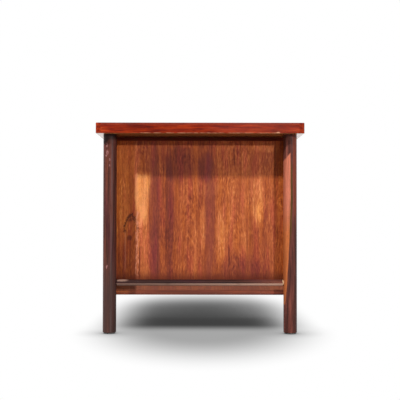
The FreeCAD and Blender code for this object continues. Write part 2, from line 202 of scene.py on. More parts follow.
class StudioSettings(bpy.types.PropertyGroup):
    """Floor, lamps and camera"""
    floor: colour("Floor", "Pale studio floor", 255, 255, 255)
    floor_reach: length("Floor reach", "From the middle of the floor to its edge", 14.0)
    floor_drop: length("Floor drop", "Depth of the floor below the feet", 0.0003)
    umbra: share("Floor shade", "Level of the floor under the desk", 0.045)
    penumbra: share("Outer floor shade", "Level of the floor just outside the right-hand end", 0.385)
    sky_reach: length("Shade reach", "How far off the desk shades the floor", 2.0)
    contact_reach: length("Contact reach", "How far off a foot darkens the floor", 0.11)
    key: share("Main lamp", "Level of the lamp at the front corner", 0.98)
    key_from: direction("Main lamp from", "Direction of the main lamp", (0.434, -0.5295, 0.729))
    key_width: angle("Main lamp width", "Apparent width of the main lamp", 2.8)
    fill: share("Second lamp", "Level of the low lamp at the other corner", 0.45)
    fill_from: direction("Second lamp from", "Direction of the second lamp", (0.810, 0.494, 0.317))
    fill_width: angle("Second lamp width", "Apparent width of the second lamp", 3.0)
    back: share("Back lamp", "Level of the wide soft lamp behind", 0.30)
    back_from: direction("Back lamp from", "Direction of the back lamp", (-0.70, 0.12, 0.70))
    back_width: angle("Back lamp width", "Apparent width of the back lamp", 60.0)
    lamp_distance: length("Lamp distance", "From the desk to a lamp's object", 5.0)
    room: share("Room light", "Level of the even light from all round", 0.20)
    bounce: share("Floor bounce", "Share of light that the floor sends back", 0.20)
    camera_distance: length("Camera distance", "From the desk's centre", 3.70)
    camera_height: length("Camera height", "Above the floor", 0.413)
    lens: FloatProperty(name="Lens", description="Focal length", unit="CAMERA", min=1.0, default=71.34)
    tilt: angle("Tilt", "Upward tilt of the camera", 1.285)
    roll: angle("Roll", "Turn of the camera about its line of sight", 0.09)


GROUPS = {"desk_panel": PanelTones, "desk_top": TopTones, "desk_turned": TurnedTones, "desk_box": BoxTones,
          "desk_fixing": FixingTones, "desk_grain": GrainSizes, "desk_screw": ScrewSizes,
          "desk_studio": StudioSettings}


# Shader building

def both_ways(operation):
    """Two methods that add one Math node: the value before the other, and the reflected form."""

    def forward(self, other):
        return self.finish.maths(operation, self, other)

    def reflected(self, other):
        return self.finish.maths(operation, other, self)

    return forward, reflected


class Value:
    """A node socket that can stand in a Python sum."""

    __add__, __radd__ = both_ways("ADD")
    __sub__, __rsub__ = both_ways("SUBTRACT")
    __mul__, __rmul__ = both_ways("MULTIPLY")
    __truediv__, __rtruediv__ = both_ways("DIVIDE")
    __pow__, __rpow__ = both_ways("POWER")

    def __init__(self, finish, socket):
        self.finish, self.socket = finish, socket

    def __abs__(self):
        return self.finish.maths("ABSOLUTE", self)

    def least(self, other):
        return self.finish.maths("MINIMUM", self, other)

    def most(self, other):
        return self.finish.maths("MAXIMUM", self, other)

    def fold(self, width):
        """Runs up and back down again over each width."""
        return self.finish.maths("PINGPONG", self, width)

    def step(self, low, high):
        """0 at low, 1 at high and smooth between, whichever is larger."""
        return self.finish.node("ShaderNodeMapRange", {"interpolation_type": "SMOOTHSTEP"},
                                {"Value": self, "From Min": low, "From Max": high}, "Result")


class Finish:
    """The nodes of one finish."""

    def __init__(self, tree):
        self.tree = tree
        tree.nodes.clear()

    def node(self, kind, settings=None, sockets=None, output=0):
        """Adds a node: its settings first, then the values or links of its sockets."""
        made = self.tree.nodes.new(kind)
        for key, value in (settings or {}).items():
            if key == "stops":
                ramp = made.color_ramp.elements
                while len(ramp) < len(value):
                    ramp.new(1.0)
                for stop, (position, shade) in zip(ramp, value):
                    stop.position, stop.color = position, shade
            else:
                setattr(made, key, value)
        for key, value in (sockets or {}).items():
            if isinstance(value, Value):
                self.tree.links.new(value.socket, made.inputs[key])
            else:
                made.inputs[key].default_value = value
        return Value(self, made.outputs[output]) if made.outputs else None

    def maths(self, operation, *values):
        return self.node("ShaderNodeMath", {"operation": operation}, dict(enumerate(values)))

    def mix(self, first, second, factor, blend="MIX"):
        return self.node("ShaderNodeMix", {"data_type": "RGBA", "blend_type": blend},
                         {0: factor, 6: first, 7: second}, 2)

    def scaled(self, vector, factor):
        return self.node("ShaderNodeVectorMath", {"operation": "SCALE"}, {0: vector, "Scale": factor})

    def vector(self, x, y, z):
        return self.node("ShaderNodeCombineXYZ", {}, {0: x, 1: y, 2: z})

    def noise(self, place, sizes, seed, detail=2.0, output="Fac"):
        """Cloudy noise with clouds of these sizes in metres; each seed reads another part of it."""
        where = self.node("ShaderNodeMapping", {}, {"Vector": place, "Scale": [1 / s for s in sizes],
                                                    "Location": (seed, 1.7 * seed + 3, 2.3 * seed + 5)})
        return self.node("ShaderNodeTexNoise", {}, {"Vector": where, "Scale": 1.0, "Detail": detail}, output)


class Coating(Finish):
    """A finish with a material of its own, placed by the desk's coordinates."""

    def __init__(self, name):
        self.material = bpy.data.materials.new(name)
        self.material.use_nodes = True
        super().__init__(self.material.node_tree)
        self.place = self.node("ShaderNodeTexCoord", {}, {}, "Object")
        self.x, self.y, self.z = self.parts(self.place)

    def parts(self, place):
        return tuple(self.node("ShaderNodeSeparateXYZ", {}, {0: place}, i) for i in range(3))


class Wood(Coating):
    """A finish on timber, with the grain along one axis of the desk."""

    def __init__(self, name, grain, seed):
        super().__init__(name)
        self.grain, self.seed = grain, seed
        self.sizes = bpy.context.scene.desk_grain

    @cached_property
    def facing(self):
        """The way a face looks, along X, Y and Z."""
        return self.parts(self.node("ShaderNodeNewGeometry", {}, {}, "Normal"))

    @cached_property
    def feather(self):
        """Fine strokes about zero that break up the rim of a patch."""
        return self.clouds(self.sizes.feather, self.sizes.feather_length, 25.0) - 0.5

    def stretched(self, across, along):
        """A noise size with its long side along the grain."""
        return [along if axis == self.grain else across for axis in "XYZ"]

    def clouds(self, across, along, seed=0.0, detail=2.0, place=None, output="Fac"):
        """Noise that runs with the grain."""
        sizes = self.stretched(across, along)
        return self.noise(place or self.place, sizes, self.seed + seed, detail, output)

    def wavered(self, amount, across, along, seed):
        """The place on the wood, pushed about so that straight grain wanders."""
        push = self.clouds(across, along, seed, 1.0, None, "Color")
        push = self.node("ShaderNodeVectorMath", {"operation": "SUBTRACT"}, {0: push, 1: (0.5, 0.5, 0.5)})
        return self.node("ShaderNodeVectorMath", {"operation": "MULTIPLY_ADD"},
                         {0: push, 1: [2 * amount] * 3, 2: self.place})

    def arris(self, low, high):
        """Distance in metres from the nearest edge of a box-shaped board."""
        a, b, c = (abs((p - lo).least(hi - p)) for p, lo, hi in zip((self.x, self.y, self.z), low, high))
        return a.least(b).most(a.most(b).least(c))

    def lens(self, across, along, patch, ragged=2.2):
        """A soft spot in the figure, 1 in its middle and 0 outside; a patch is place and half sizes in mm."""
        middle_across, middle_along, half_width, half_length = (size * MM for size in patch)
        a = abs((across - middle_across) / half_width) ** 2
        b = abs((along - middle_along) / half_length) ** 2
        return (a + b + self.feather * ragged).step(1.4, 0.25)

    def pores(self, strength=1.0):
        """Short open pores along the grain."""
        dots = self.clouds(self.sizes.pore, self.sizes.pore_length, 31.0, 1.0)
        return dots.step(0.585, 0.68) * strength

    def ramp(self, tone, tones):
        """Five colours of the wood from the deepest to the palest."""
        shades = (tones.deep, tones.dark, tones.middle, tones.light, tones.pale)
        stops = [(stop, ink(shade)) for stop, shade in zip(RAMP_STOPS, shades)]
        return self.node("ShaderNodeValToRGB", {"stops": stops}, {0: tone}, "Color")

    def surface(self, base, roughness, height, gloss=LACQUER_GLOSS, coat=0.0):
        """Puts colour, sheen and open grain on the material."""
        bump = self.node("ShaderNodeBump", {}, {"Strength": GRAIN_RELIEF, "Distance": self.sizes.bump,
                                                "Height": height}, "Normal")
        shader = self.node("ShaderNodeBsdfPrincipled", {}, {
            "Base Color": base, "Roughness": roughness, "Specular IOR Level": gloss, "Coat Weight": coat,
            "Coat Roughness": SEALED_ROUGHNESS, "Normal": bump})
        self.node("ShaderNodeOutputMaterial", {}, {"Surface": shader})
        return self.material


def ink(shade):
    """A screen colour as the linear colour that a shader takes."""
    linear = Color(shade[:3]).from_srgb_to_scene_linear()
    return (linear.r, linear.g, linear.b, 1.0)


def dress(material, *nodes):
    """Gives CAD nodes a finish."""
    for name in nodes:
        for slot in NODES[name].material_slots:
            slot.material = material


# Rosewood

def figure(wood, growth, along, contrast, fleck=0.6):
    """Tone, thin lines and hair streaks of wood laid down along a growth distance."""
    sizes = wood.sizes
    run = wood.vector(growth, 0.0, along)

    def drawn(width, long, shift, detail):
        return wood.noise(run, (width, 1.0, long), wood.seed + shift, detail) - 0.5

    hair = drawn(sizes.hair, 0.3, 6.2, 2.0)
    tone = 0.5 + drawn(sizes.band, 1.5, 0.0, 3.0) * (1.7 * contrast)
    tone = tone + drawn(sizes.streak, 0.45, 3.1, 2.0) * (0.9 * contrast) + hair * (0.55 * contrast)
    tone = tone + drawn(sizes.fleck, sizes.fleck_length, 7.7, 2.0) * fleck
    lines = abs(drawn(0.4 * sizes.band, 1.3, 9.3, 1.0) + 0.03).step(0.028, 0.004)
    lines = lines * drawn(2 * sizes.band, 0.6, 12.4, 1.0).step(-0.08, 0.1)
    return tone, lines, hair


def rosewood(wood, tone, lines, hair, tones, box=None, plum=None, gloss=LACQUER_GLOSS, under=None, extra=()):
    """The full rosewood finish from its tone and lines.

    A box gives worn arrises, under the colour of an unstained lower face, and extra the colours laid over all
    with their shares.
    """
    base = wood.ramp(tone, tones)
    if plum is not None:
        base = wood.mix(base, ink(bpy.context.scene.desk_panel.plum), plum)
    base = wood.mix(base, ink(tones.line), lines * 0.6)
    drift = wood.clouds(0.022, 0.16, 45.0)
    base = wood.mix(base, ROSE, drift.step(0.50, 0.68), "MULTIPLY")
    base = wood.mix(base, GOLD, drift.step(0.50, 0.32), "MULTIPLY")
    shimmer = wood.clouds(0.014, 0.030, 41.0)
    base = wood.scaled(base, 0.9 + shimmer * 0.2)
    pores = wood.pores()
    base = wood.mix(base, ink(tones.line), pores * 0.4)
    roughness = LACQUER_ROUGHNESS + pores * PORE_ROUGHNESS + (shimmer - 0.5) * 0.10
    if box is not None:
        worn = wood.arris(*box).step(0.0035, 0.0006) * wood.clouds(0.02, 0.05, 51.0, 3.0).step(0.46, 0.62)
        base = wood.mix(base, ink(tones.pale), worn * 0.55)
        roughness = roughness + worn * 0.15
    for shade, part, *blend in extra:
        base = wood.mix(base, ink(shade), part, *blend)
    coat = 0.0
    if under is not None:
        roughness = roughness + wood.facing[2].step(0.6, 0.95) * RUBBED_ROUGHNESS
        coat = wood.facing[2].step(-0.6, -0.95)
        plain = wood.scaled(ink(under)[:3], 1.0 + hair * 0.6 - pores * 0.3)
        base = wood.mix(base, plain, coat)
    return wood.surface(base, roughness, hair * 0.5 - pores, gloss, coat)


def leaf_growth(wood, across, along, start, width, heart, lean, apex):
    """Distance from the log's heart in book-matched leaves: straight at their edges, arched in the middle."""
    wander = wood.wavered(0.007, 0.11, 0.34, 21.0)
    moved = wood.parts(wander)
    side = (moved[AXIS[across]] - start).fold(width) - heart
    depth = 0.006 + abs(moved[AXIS[along]] - apex) * lean
    return (side * side + depth * depth) ** 0.5


def strokes(wood, growth, across, along):
    """Fine broken strokes that follow the growth, clearer in some places."""
    place = (wood.x, wood.y, wood.z)
    run = wood.vector(growth, place[AXIS[across]], place[AXIS[along]])
    fine = wood.noise(run, (0.0022, 0.011, 0.018), wood.seed + 17.0, 2.0) - 0.5
    return fine * (0.45 + wood.clouds(0.05, 0.07, 90.0, 2.0).step(0.38, 0.62) * 0.55)


def leaves(node, across, count):
    """Where the first of so many equal leaves starts on a board, and how wide each is."""
    low, high = (corner[AXIS[across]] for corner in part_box(node))
    return {"start": low, "width": (high - low) / count}


def veneer(name, nodes, across, along, seed, tones, *, start, width, heart, lean, apex, contrast=0.62,
           plum=0.4, under=None, extra=()):
    """Book-matched rosewood leaves on boards."""
    for number, node in enumerate(nodes):
        wood = Wood(f"{name}_{number + 1}" if len(nodes) > 1 else name, along, seed + 7.7 * number)
        growth = leaf_growth(wood, across, along, start, width, heart, lean, apex)
        length_along = (wood.x, wood.y, wood.z)[AXIS[along]]
        tone, lines, hair = figure(wood, growth, length_along, contrast)
        tone = tone + strokes(wood, growth, across, along) * 0.8
        bands = wood.noise(wood.vector(growth, 0.0, length_along), (0.05, 1.0, 1.2), wood.seed + 29.0, 1.0)
        purple = bands.step(0.50, 0.66) * plum if plum else None
        dress(rosewood(wood, tone, lines * 0.7, hair, tones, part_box(node), purple, under=under, extra=extra),
              node)


def solid(name, node, grain, seed, tones, box=None, gloss=LACQUER_GLOSS, under=None):
    """Solid rosewood, sawn or turned, with its figure running right through it."""
    wood = Wood(name, grain, seed)
    tone, lines, hair = solid_figure(wood)
    dress(rosewood(wood, tone, lines, hair, tones, box, gloss=gloss, under=under), node)


def solid_figure(wood, across=0.011, contrast=1.0, run=1.0):
    """Tone, thin lines and hair streaks of solid wood; run stretches them along the grain."""
    place = wood.wavered(0.003, 0.05, 0.25, 17.0)
    broad = wood.clouds(across, 0.55 * run, 0.0, 2.0, place) - 0.5
    streak = wood.clouds(0.3 * across, 0.30 * run, 4.0, 2.0, place) - 0.5
    hair = wood.clouds(0.1 * across, 0.12 * run, 8.0, 2.0, place) - 0.5
    tone = 0.5 + broad * (1.5 * contrast) + streak * (0.8 * contrast) + hair * (0.5 * contrast)
    lines = abs(wood.clouds(0.6 * across, 0.5 * run, 12.0, 1.0, place) - 0.46).step(0.022, 0.003) * 0.7
    return tone, lines, hair


# Top

class DESK_OT_top(bpy.types.Operator):
    """Finishes the veneered top and its solid lippings"""
    bl_idname = "desk.top"
    bl_label = "Top"

    def execute(self, context):
        tones = context.scene.desk_top
        veneer("top_veneer", ["top_panel"], "Y", "X", 2.0, tones, **leaves("top_panel", "Y", 4), heart=0.085,
               lean=0.045, apex=-0.35, contrast=1.05, plum=0.0, under=tones.under,
               extra=[(tones.brown, 0.28)])
        for name, node, grain, seed in (("lipping_user", "top_lipping_user", "X", 11.0),
                                        ("lipping_visitor", "top_lipping_visitor", "X", 13.0),
                                        ("lipping_left", "top_lipping_left", "Y", 15.0)):
            solid(name, node, grain, seed, tones, gloss=LIPPING_GLOSS, under=tones.under)
        self.right_lipping(tones)
        return {"FINISHED"}

    def right_lipping(self, tones):
        """The red end lipping, dark along its upper arris, with a painted highlight along its lower one."""
        wood = Wood("lipping_right", "Y", 19.0)
        low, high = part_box("top_lipping_right")
        tone, lines, hair = solid_figure(wood, 0.011, 0.8, 0.16)
        up = (wood.z - low.z) / (high.z - low.z)
        orange = wood.lens(wood.y, wood.z, (-350, 724, 30, 16))
        dusk = wood.lens(wood.y, wood.z, (-190, 733, 130, 22))
        light = wood.lens(wood.y, wood.z, (215, 728, 180, 20))
        tone = tone + 0.06 + orange * 0.14 - dusk * 0.10 + light * 0.02 - up.step(0.35, 0.75) * 0.08
        tone = tone - up.step(0.88, 0.97) * 0.3
        # Painted highlight, broken up, along the lower arris
        rubbed = up.step(0.085, 0.03) * wood.clouds(0.01, 0.022, 53.0, 3.0).step(0.40, 0.56)
        rubbed = rubbed * wood.y.step(-0.25, -0.19) * wood.y.step(0.30, 0.28)
        chip = wood.lens(wood.y, wood.z, (277, 713, 7, 4.5), 0.6)
        extra = [(tones.faded, light * 0.2), (tones.faded, up.step(0.72, 0.9) * 0.3),
                 (tones.bare_wood_and_highlight, rubbed * 0.75), (tones.bare_wood_and_highlight, chip)]
        dress(rosewood(wood, tone, lines, hair, tones, gloss=LIPPING_GLOSS, under=tones.under, extra=extra),
              "top_lipping_right")


# End frames

# Old knocks on the right-hand user's leg: place across and up, half width and half length in millimetres
KNOCKS = ((-333, 672, 4, 8), (-331, 646, 5, 9), (-335, 634, 4, 5), (-322, 620, 3, 5), (-322, 598, 3, 7),
          (-331, 237, 4, 8))


class DESK_OT_end_frames(bpy.types.Operator):
    """Finishes the turned legs, stretchers and spacers"""
    bl_idname = "desk.end_frames"
    bl_label = "Legs and stretchers"

    def execute(self, context):
        tones = context.scene.desk_turned
        solid("leg_wood_a", "leg_user_left", "Z", 23.0, tones)
        solid("leg_wood_b", "leg_visitor_left", "Z", 27.0, tones)
        self.dark_leg(tones)
        self.sapwood_leg(tones)
        self.rod("stretcher_wood_a", "stretcher_left", 31.0, tones)
        self.rod("stretcher_wood_b", "stretcher_right", 33.0, tones)
        solid("spacer_wood", "leg_spacers", "X", 35.0, tones)
        return {"FINISHED"}

    def dark_leg(self, tones):
        """User's right-hand leg: a painted sheen streak, old knocks, painted shade on top and one rim, a dull
        foot.
        """
        wood = Wood("leg_wood_knocked", "Z", 37.0)
        tone, lines, hair = solid_figure(wood, 0.010, 0.8, 0.35)
        knocks = wood.lens(wood.y, wood.z, KNOCKS[0])
        for patch in KNOCKS[1:]:
            knocks = knocks.most(wood.lens(wood.y, wood.z, patch))
        knocks = knocks * wood.clouds(0.004, 0.010, 61.0).step(0.40, 0.54)
        # Painted sheen streak down the leg, standing in for a lamp's reflection
        painted_sheen = abs(wood.y + 0.315).step(0.006, 0.002) * wood.clouds(0.006, 0.20, 65.0).step(0.35, 0.6)
        # Painted shade along the rim on the visitor's side
        tone = tone - wood.y.step(-0.309, -0.303) * 0.12
        # Painted shadow of the top over the leg's upper end
        dark = (wood.z - wood.y * 0.83 - 0.960).step(-0.004, 0.006)
        dark = dark.most(wood.z.step(0.686, 0.698))
        dull = wood.z.step(0.34, 0.14)
        extra = [(tones.foot, dull * 0.7), (tones.painted_sheen, painted_sheen * 0.35), (tones.knock, knocks * 0.7),
                 (tones.line, dark * 0.8)]
        dress(rosewood(wood, tone, lines, hair, tones, extra=extra), "leg_user_right")

    def sapwood_leg(self, tones):
        """The visitor's right-hand leg: a tapering sapwood tongue down its inner face, with painted highlight
        and shadow.
        """
        wood = Wood("leg_wood_sapwood", "Z", 39.0)
        tone, lines, hair = solid_figure(wood, 0.010, 1.0, 0.35)
        fall = ((0.50 - wood.z) / 0.38).most(0.0) ** 1.68
        rim = 0.3225
        inside = rim - fall * 0.0165 - wood.y + (wood.clouds(0.02, 0.06, 63.0) - 0.5) * 0.004
        # Slanted upper edge of the tongue: the painted shadow of the top on the leg
        below = 0.645 - (rim - wood.y) * 1.20 - wood.z
        pale = inside.step(-0.0006, 0.0008) * below.step(-0.004, 0.004) * wood.z.step(0.100, 0.110)
        olive = abs(inside + 0.0035).step(0.0048, 0.0016) * wood.z.step(0.30, 0.40) * wood.z.step(0.63, 0.58)
        red = wood.lens(wood.y, wood.z, (340, 560, 9, 190))
        # Sapwood, pinker above where a painted highlight of the main lamp lies on it
        sapwood_and_highlight = wood.mix(ink(tones.sapwood_low), ink(tones.sapwood), wood.z.step(0.33, 0.48))
        edge = wood.y.step(0.300, 0.314) * 0.38 + 0.76
        sapwood_and_highlight = wood.scaled(sapwood_and_highlight, (1.0 + hair * 0.8 + (wood.clouds(0.003, 0.09, 67.0) - 0.5) * 0.9) * edge)
        # The darkening at the upper end is painted shade under the top
        tone = tone + red * 0.10 + wood.z.step(0.58, 0.62) * 0.16 - wood.z.step(0.68, 0.70) * 0.1
        base = wood.mix(wood.ramp(tone, tones), ink(tones.russet), red * 0.85)
        base = wood.mix(base, ink(tones.line), lines * 0.6)
        base = wood.mix(wood.mix(base, ink(tones.olive), olive * 0.8), sapwood_and_highlight, pale)
        pores = wood.pores()
        base = wood.mix(base, ink(tones.line), pores * 0.35)
        dress(wood.surface(base, LACQUER_ROUGHNESS + pores * PORE_ROUGHNESS, hair * 0.5 - pores),
              "leg_visitor_right")

    def rod(self, name, node, seed, tones):
        """A stretcher, darker above, with a painted floor reflection along its lower half and a painted glint
        at one shoulder.
        """
        wood = Wood(name, "Y", seed)
        tone, lines, hair = solid_figure(wood)
        low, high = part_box(node)
        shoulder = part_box("leg_visitor_right")[0].y
        up = (wood.z - (low.z + high.z) / 2) / ((high.z - low.z) / 2)
        tone = tone - 0.22 - up.step(-0.1, 0.4) * 0.25 + wood.y.step(0.08, 0.26) * 0.45
        # Painted reflection of the floor along the lower half, brighter towards the visitor's end
        rubbed = abs(up + 0.62).step(0.56, 0.20) * wood.clouds(0.02, 0.09, 71.0).step(0.1, 0.45)
        rubbed = rubbed * (0.36 + wood.y.step(-0.27, 0.29) * 0.64)
        # Painted highlight near the user's end
        worn = wood.lens(wood.y, wood.z, (-281, 189, 28, 4), 1.2) * 0.25
        # Painted glint at the shoulder on the visitor's end
        ring = wood.y.step(shoulder - 0.0045, shoulder - 0.0030)
        extra = [(tones.rubbed, rubbed), (tones.rubbed, worn), (tones.ring, ring * 0.9)]
        dress(rosewood(wood, tone, lines, hair, tones, extra=extra), node)


class DESK_OT_glides(bpy.types.Operator):
    """Finishes the steel glides"""
    bl_idname = "desk.glides"
    bl_label = "Glides"

    def execute(self, context):
        dress(steel("glide_metal", 3.0, context.scene.desk_fixing), "leg_glides")
        return {"FINISHED"}


def steel(name, seed, tones):
    """Turned steel with dull places and fine marks."""
    coat = Coating(name)
    dull = coat.noise(coat.place, (0.006, 0.006, 0.006), seed, 3.0).step(0.42, 0.68)
    marks = coat.noise(coat.place, (0.0006, 0.0006, 0.004), seed + 5.0)
    base = coat.mix(ink(tones.steel), ink(tones.tarnish), dull * 0.6)
    bump = coat.node("ShaderNodeBump", {}, {"Strength": 0.15, "Distance": 0.0001, "Height": marks}, "Normal")
    shader = coat.node("ShaderNodeBsdfPrincipled", {}, {
        "Base Color": base, "Metallic": 1.0, "Roughness": 0.28 + dull * 0.3 + marks * 0.1, "Normal": bump})
    coat.node("ShaderNodeOutputMaterial", {}, {"Surface": shader})
    return coat.material


# Pedestals

# Patches in the figure of the right-hand outer side: place across and up, half width and half length in
# millimetres, how much lighter, and how much of the plum cast
END_FIGURE = (
    (-290, 500, 40, 200, 0.16, 0.0),
    (-262, 230, 50, 120, -0.06, 0.0),
    (-205, 300, 22, 170, 0.18, 0.0),
    (-175, 640, 35, 60, -0.03, 0.0),
    (-166, 400, 22, 330, -0.19, 0.45),
    (-139, 480, 9, 150, 0.03, 0.0),
    (-112, 400, 16, 260, -0.24, 0.30),
    (-60, 490, 34, 120, 0.01, 0.0),
    (-52, 250, 50, 120, -0.03, 0.0),
    (-80, 610, 60, 70, -0.18, 0.15),
    (10, 380, 13, 90, 0.24, 0.0),
    (22, 598, 32, 58, -0.21, 0.34),
    (36, 380, 22, 300, -0.09, 0.45),
    (76, 350, 22, 95, 0.17, 0.0),
    (128, 460, 40, 112, 0.05, 0.0),
    (150, 330, 22, 80, 0.05, 0.0),
    (106, 275, 5, 42, -0.30, 0.1),
    (184, 480, 13, 120, 0.05, 0.10),
    (211, 478, 26, 100, 0.24, 0.0),
    (212, 425, 12, 40, 0.13, 0.0),
    (249, 610, 14, 60, 0.07, 0.25),
    (150, 200, 100, 80, -0.17, 0.25),
    (255, 330, 40, 150, -0.02, 0.1),
    (300, 480, 22, 160, 0.11, 0.0),
    (105, 620, 45, 50, -0.05, 0.0),
    (124, 640, 3, 34, -0.28, 0.0),
    (137, 655, 3, 26, -0.22, 0.0),
    (-276, 250, 8, 80, -0.10, 0.2),
    (252, 420, 16, 130, 0.05, 0.0),
    (-20, 290, 26, 110, 0.08, 0.0),
    (-206, 385, 24, 60, 0.07, 0.0),
    (-228, 615, 24, 70, 0.10, 0.0),
    (-160, 310, 20, 130, -0.07, 0.14),
    (20, 522, 55, 36, 0.11, 0.12),
    (240, 672, 46, 22, 0.17, 0.0),
)


class DESK_OT_pedestals(bpy.types.Operator):
    """Finishes the boards of both pedestals"""
    bl_idname = "desk.pedestals"
    bl_label = "Pedestals"

    def execute(self, context):
        tones = context.scene.desk_panel
        self.right_outer_side(tones)
        veneer("side_veneer", ["left_outer_side", "left_inner_side", "right_inner_side"], "Y", "Z", 43.0,
               tones, **leaves("left_outer_side", "Y", 4), heart=0.13, lean=0.06, apex=0.25)
        veneer("back_veneer", ["left_back_panel", "right_back_panel"], "X", "Z", 47.0, tones,
               **leaves("left_back_panel", "X", 2), heart=0.10, lean=0.05, apex=0.42)
        for number, side in enumerate(("left", "right")):
            self.base_board(f"base_wood_{number + 1}", f"{side}_base_board", 53.0 + 4 * number, tones)
            cap = f"{side}_cap_board"
            solid(f"cap_wood_{number + 1}", cap, "Y", 63.0 + 4 * number, tones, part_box(cap))
        return {"FINISHED"}

    def right_outer_side(self, tones):
        """The end seen first: a wide leaf with pale lenses, plum bands, arch, knot, pale split, and painted
        light and shade.
        """
        wood = Wood("end_veneer", "Z", 71.0)
        ragged = wood.clouds(0.006, 0.045, 5.0) - 0.5
        y = wood.parts(wood.wavered(0.004, 0.05, 0.20, 2.0))[1] + ragged * 0.004
        tone, lines, hair = figure(wood, y, wood.z, 0.30, 0.45)
        # Pale band of the figure, cut at its top and left along the main lamp's shadows of the top and the
        # leg: partly wood, partly painted light
        band = wood.lens(y, wood.z, (-214, 535, 38, 148), 0.9) * wood.z.step(0.588, 0.560)
        band = band * wood.y.step(-0.243, -0.234)
        arches = leaf_growth(wood, "Y", "Z", -0.13, 0.17, 0.085, 0.075, 0.12)
        tone = tone + band * 0.46 + strokes(wood, arches, "Y", "Z") * (1 - band * 0.6)
        plum = 0.0
        for across, up, half_width, half_length, lighter, purple in END_FIGURE:
            patch = wood.lens(y, wood.z, (across, up, half_width, half_length), 1.2)
            tone = tone + patch * lighter
            if purple:
                plum = patch * purple + plum
        arch, vein = self.arch(wood)
        split, beside = self.split(wood)
        knot = wood.lens(wood.y, wood.z, (-257, 340, 9, 11), 1.4)
        knot = knot.most(wood.lens(wood.y, wood.z, (-229, 376, 3, 11), 0.6))
        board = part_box("right_base_board")[1].z
        foot = wood.z.step(board + 0.023, board + 0.014)
        # Painted shade on the side behind and above the stretcher, deepening downwards
        painted_rod_shade = wood.z.step(board + 0.091, board + 0.039) ** 1.5 * (1 - foot)
        seam = wood.z.step(board + 0.0060, board + 0.0015)
        # Warm tint painted over the strips that lie in the legs' shadows
        edges = wood.y.step(-0.232, -0.248) + wood.y.step(0.266, 0.280)
        # The light mixed in at the foot's corner on the user's side is painted light
        extra = [(tones.leg_shadow_tint, edges, "MULTIPLY"), (tones.line, arch * 0.8), (tones.deep, knot * 0.75),
                 (tones.deep, beside * 0.85), (tones.split, split * 0.9), (tones.split, vein * 0.3),
                 (tones.rubbed, foot * 0.5), (tones.deep, painted_rod_shade * 0.75),
                 (tones.light, foot * self.corner(wood) * 0.35), (tones.deep, seam * 0.5)]
        dress(rosewood(wood, tone, lines * 0.5, hair, tones, plum=plum, extra=extra), "right_outer_side")

    def corner(self, wood):
        """1 at the lower corner on the user's side, where painted light lifts the leg's shadow."""
        return wood.y.step(-0.250, -0.268)

    def base_board(self, name, node, seed, tones):
        """The dull board under a pedestal, with painted light at one corner and darker along the seam at its
        top.
        """
        wood = Wood(name, "Y", seed)
        tone, lines, hair = solid_figure(wood)
        # Painted light at the corner on the user's side
        tone = tone - 0.27 + self.corner(wood) * 0.25
        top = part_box(node)[1].z
        seam = wood.z.step(top - 0.0020, top - 0.0008)
        extra = [(tones.rubbed, 0.15), (tones.deep, seam * 0.7)]
        dress(rosewood(wood, tone, lines, hair, tones, extra=extra), node)

    def arch(self, wood):
        """The broken dark line of an arch in the growth, and the pale line that runs down from its foot."""
        middle, half_width = -0.250, 0.0255
        spring, rise = 0.365, 0.058
        jag = wood.clouds(0.006, 0.010, 77.0) - 0.5
        side = (wood.y - middle + jag * 0.030) / half_width
        climb = (wood.z - spring + jag * 0.030) / rise
        reach = abs(side) ** 1.7 + abs(climb) ** 1.7
        ring = abs(reach - 1).step(0.32, 0.06) * wood.z.step(0.354, 0.366)
        ring = ring.most(abs(reach - 0.62).step(0.20, 0.05) * wood.z.step(0.394, 0.402) * 0.7)
        ring = ring * wood.clouds(0.008, 0.012, 66.0).step(0.28, 0.46)
        pale = abs(wood.y + 0.272 + jag * 0.004).step(0.0034, 0.0012) * wood.z.step(0.21, 0.24)
        return ring, pale * wood.z.step(0.372, 0.35)

    def split(self, wood):
        """A pale broken split below the arch and the dark line along it."""
        off = wood.y + 0.2295 - (wood.clouds(0.5, 0.022, 81.0, 3.0) - 0.5) * 0.012
        along = wood.z.step(0.185, 0.20) * wood.z.step(0.442, 0.43)
        broken = wood.clouds(0.006, 0.018, 84.0).step(0.42, 0.60)
        pale = abs(off).step(0.0078, 0.0020) * along * (0.1 + broken * 0.9)
        dark = abs(off - 0.0085).step(0.0030, 0.0008) * wood.z.step(0.32, 0.30)
        return pale, dark * along


class DESK_OT_modesty_panel(bpy.types.Operator):
    """Finishes the panel between the pedestals"""
    bl_idname = "desk.modesty_panel"
    bl_label = "Modesty panel"

    def execute(self, context):
        veneer("modesty_veneer", ["modesty_panel"], "X", "Z", 83.0, context.scene.desk_panel,
               **leaves("modesty_panel", "X", 4), heart=0.09, lean=0.05, apex=0.5)
        return {"FINISHED"}


# Drawers

class DESK_OT_drawer_fronts(bpy.types.Operator):
    """Finishes the drawer fronts"""
    bl_idname = "desk.drawer_fronts"
    bl_label = "Drawer fronts"

    def execute(self, context):
        for side, seed, apex in (("left", 91.0, -0.62), ("right", 97.0, 0.55)):
            for drawer in (d for d in DRAWERS if d.startswith(side)):
                veneer(f"{drawer}_veneer", [f"{drawer}_front"], "Z", "X", seed, context.scene.desk_panel,
                       start=0.15, width=0.29, heart=0.12, lean=0.07, apex=apex)
        return {"FINISHED"}


class DESK_OT_pulls(bpy.types.Operator):
    """Finishes the lip pulls"""
    bl_idname = "desk.pulls"
    bl_label = "Pulls"

    def execute(self, context):
        for number, drawer in enumerate(DRAWERS):
            solid(f"{drawer}_pull_wood", f"{drawer}_pull", "X", 101.0 + 3 * number, context.scene.desk_turned)
        return {"FINISHED"}


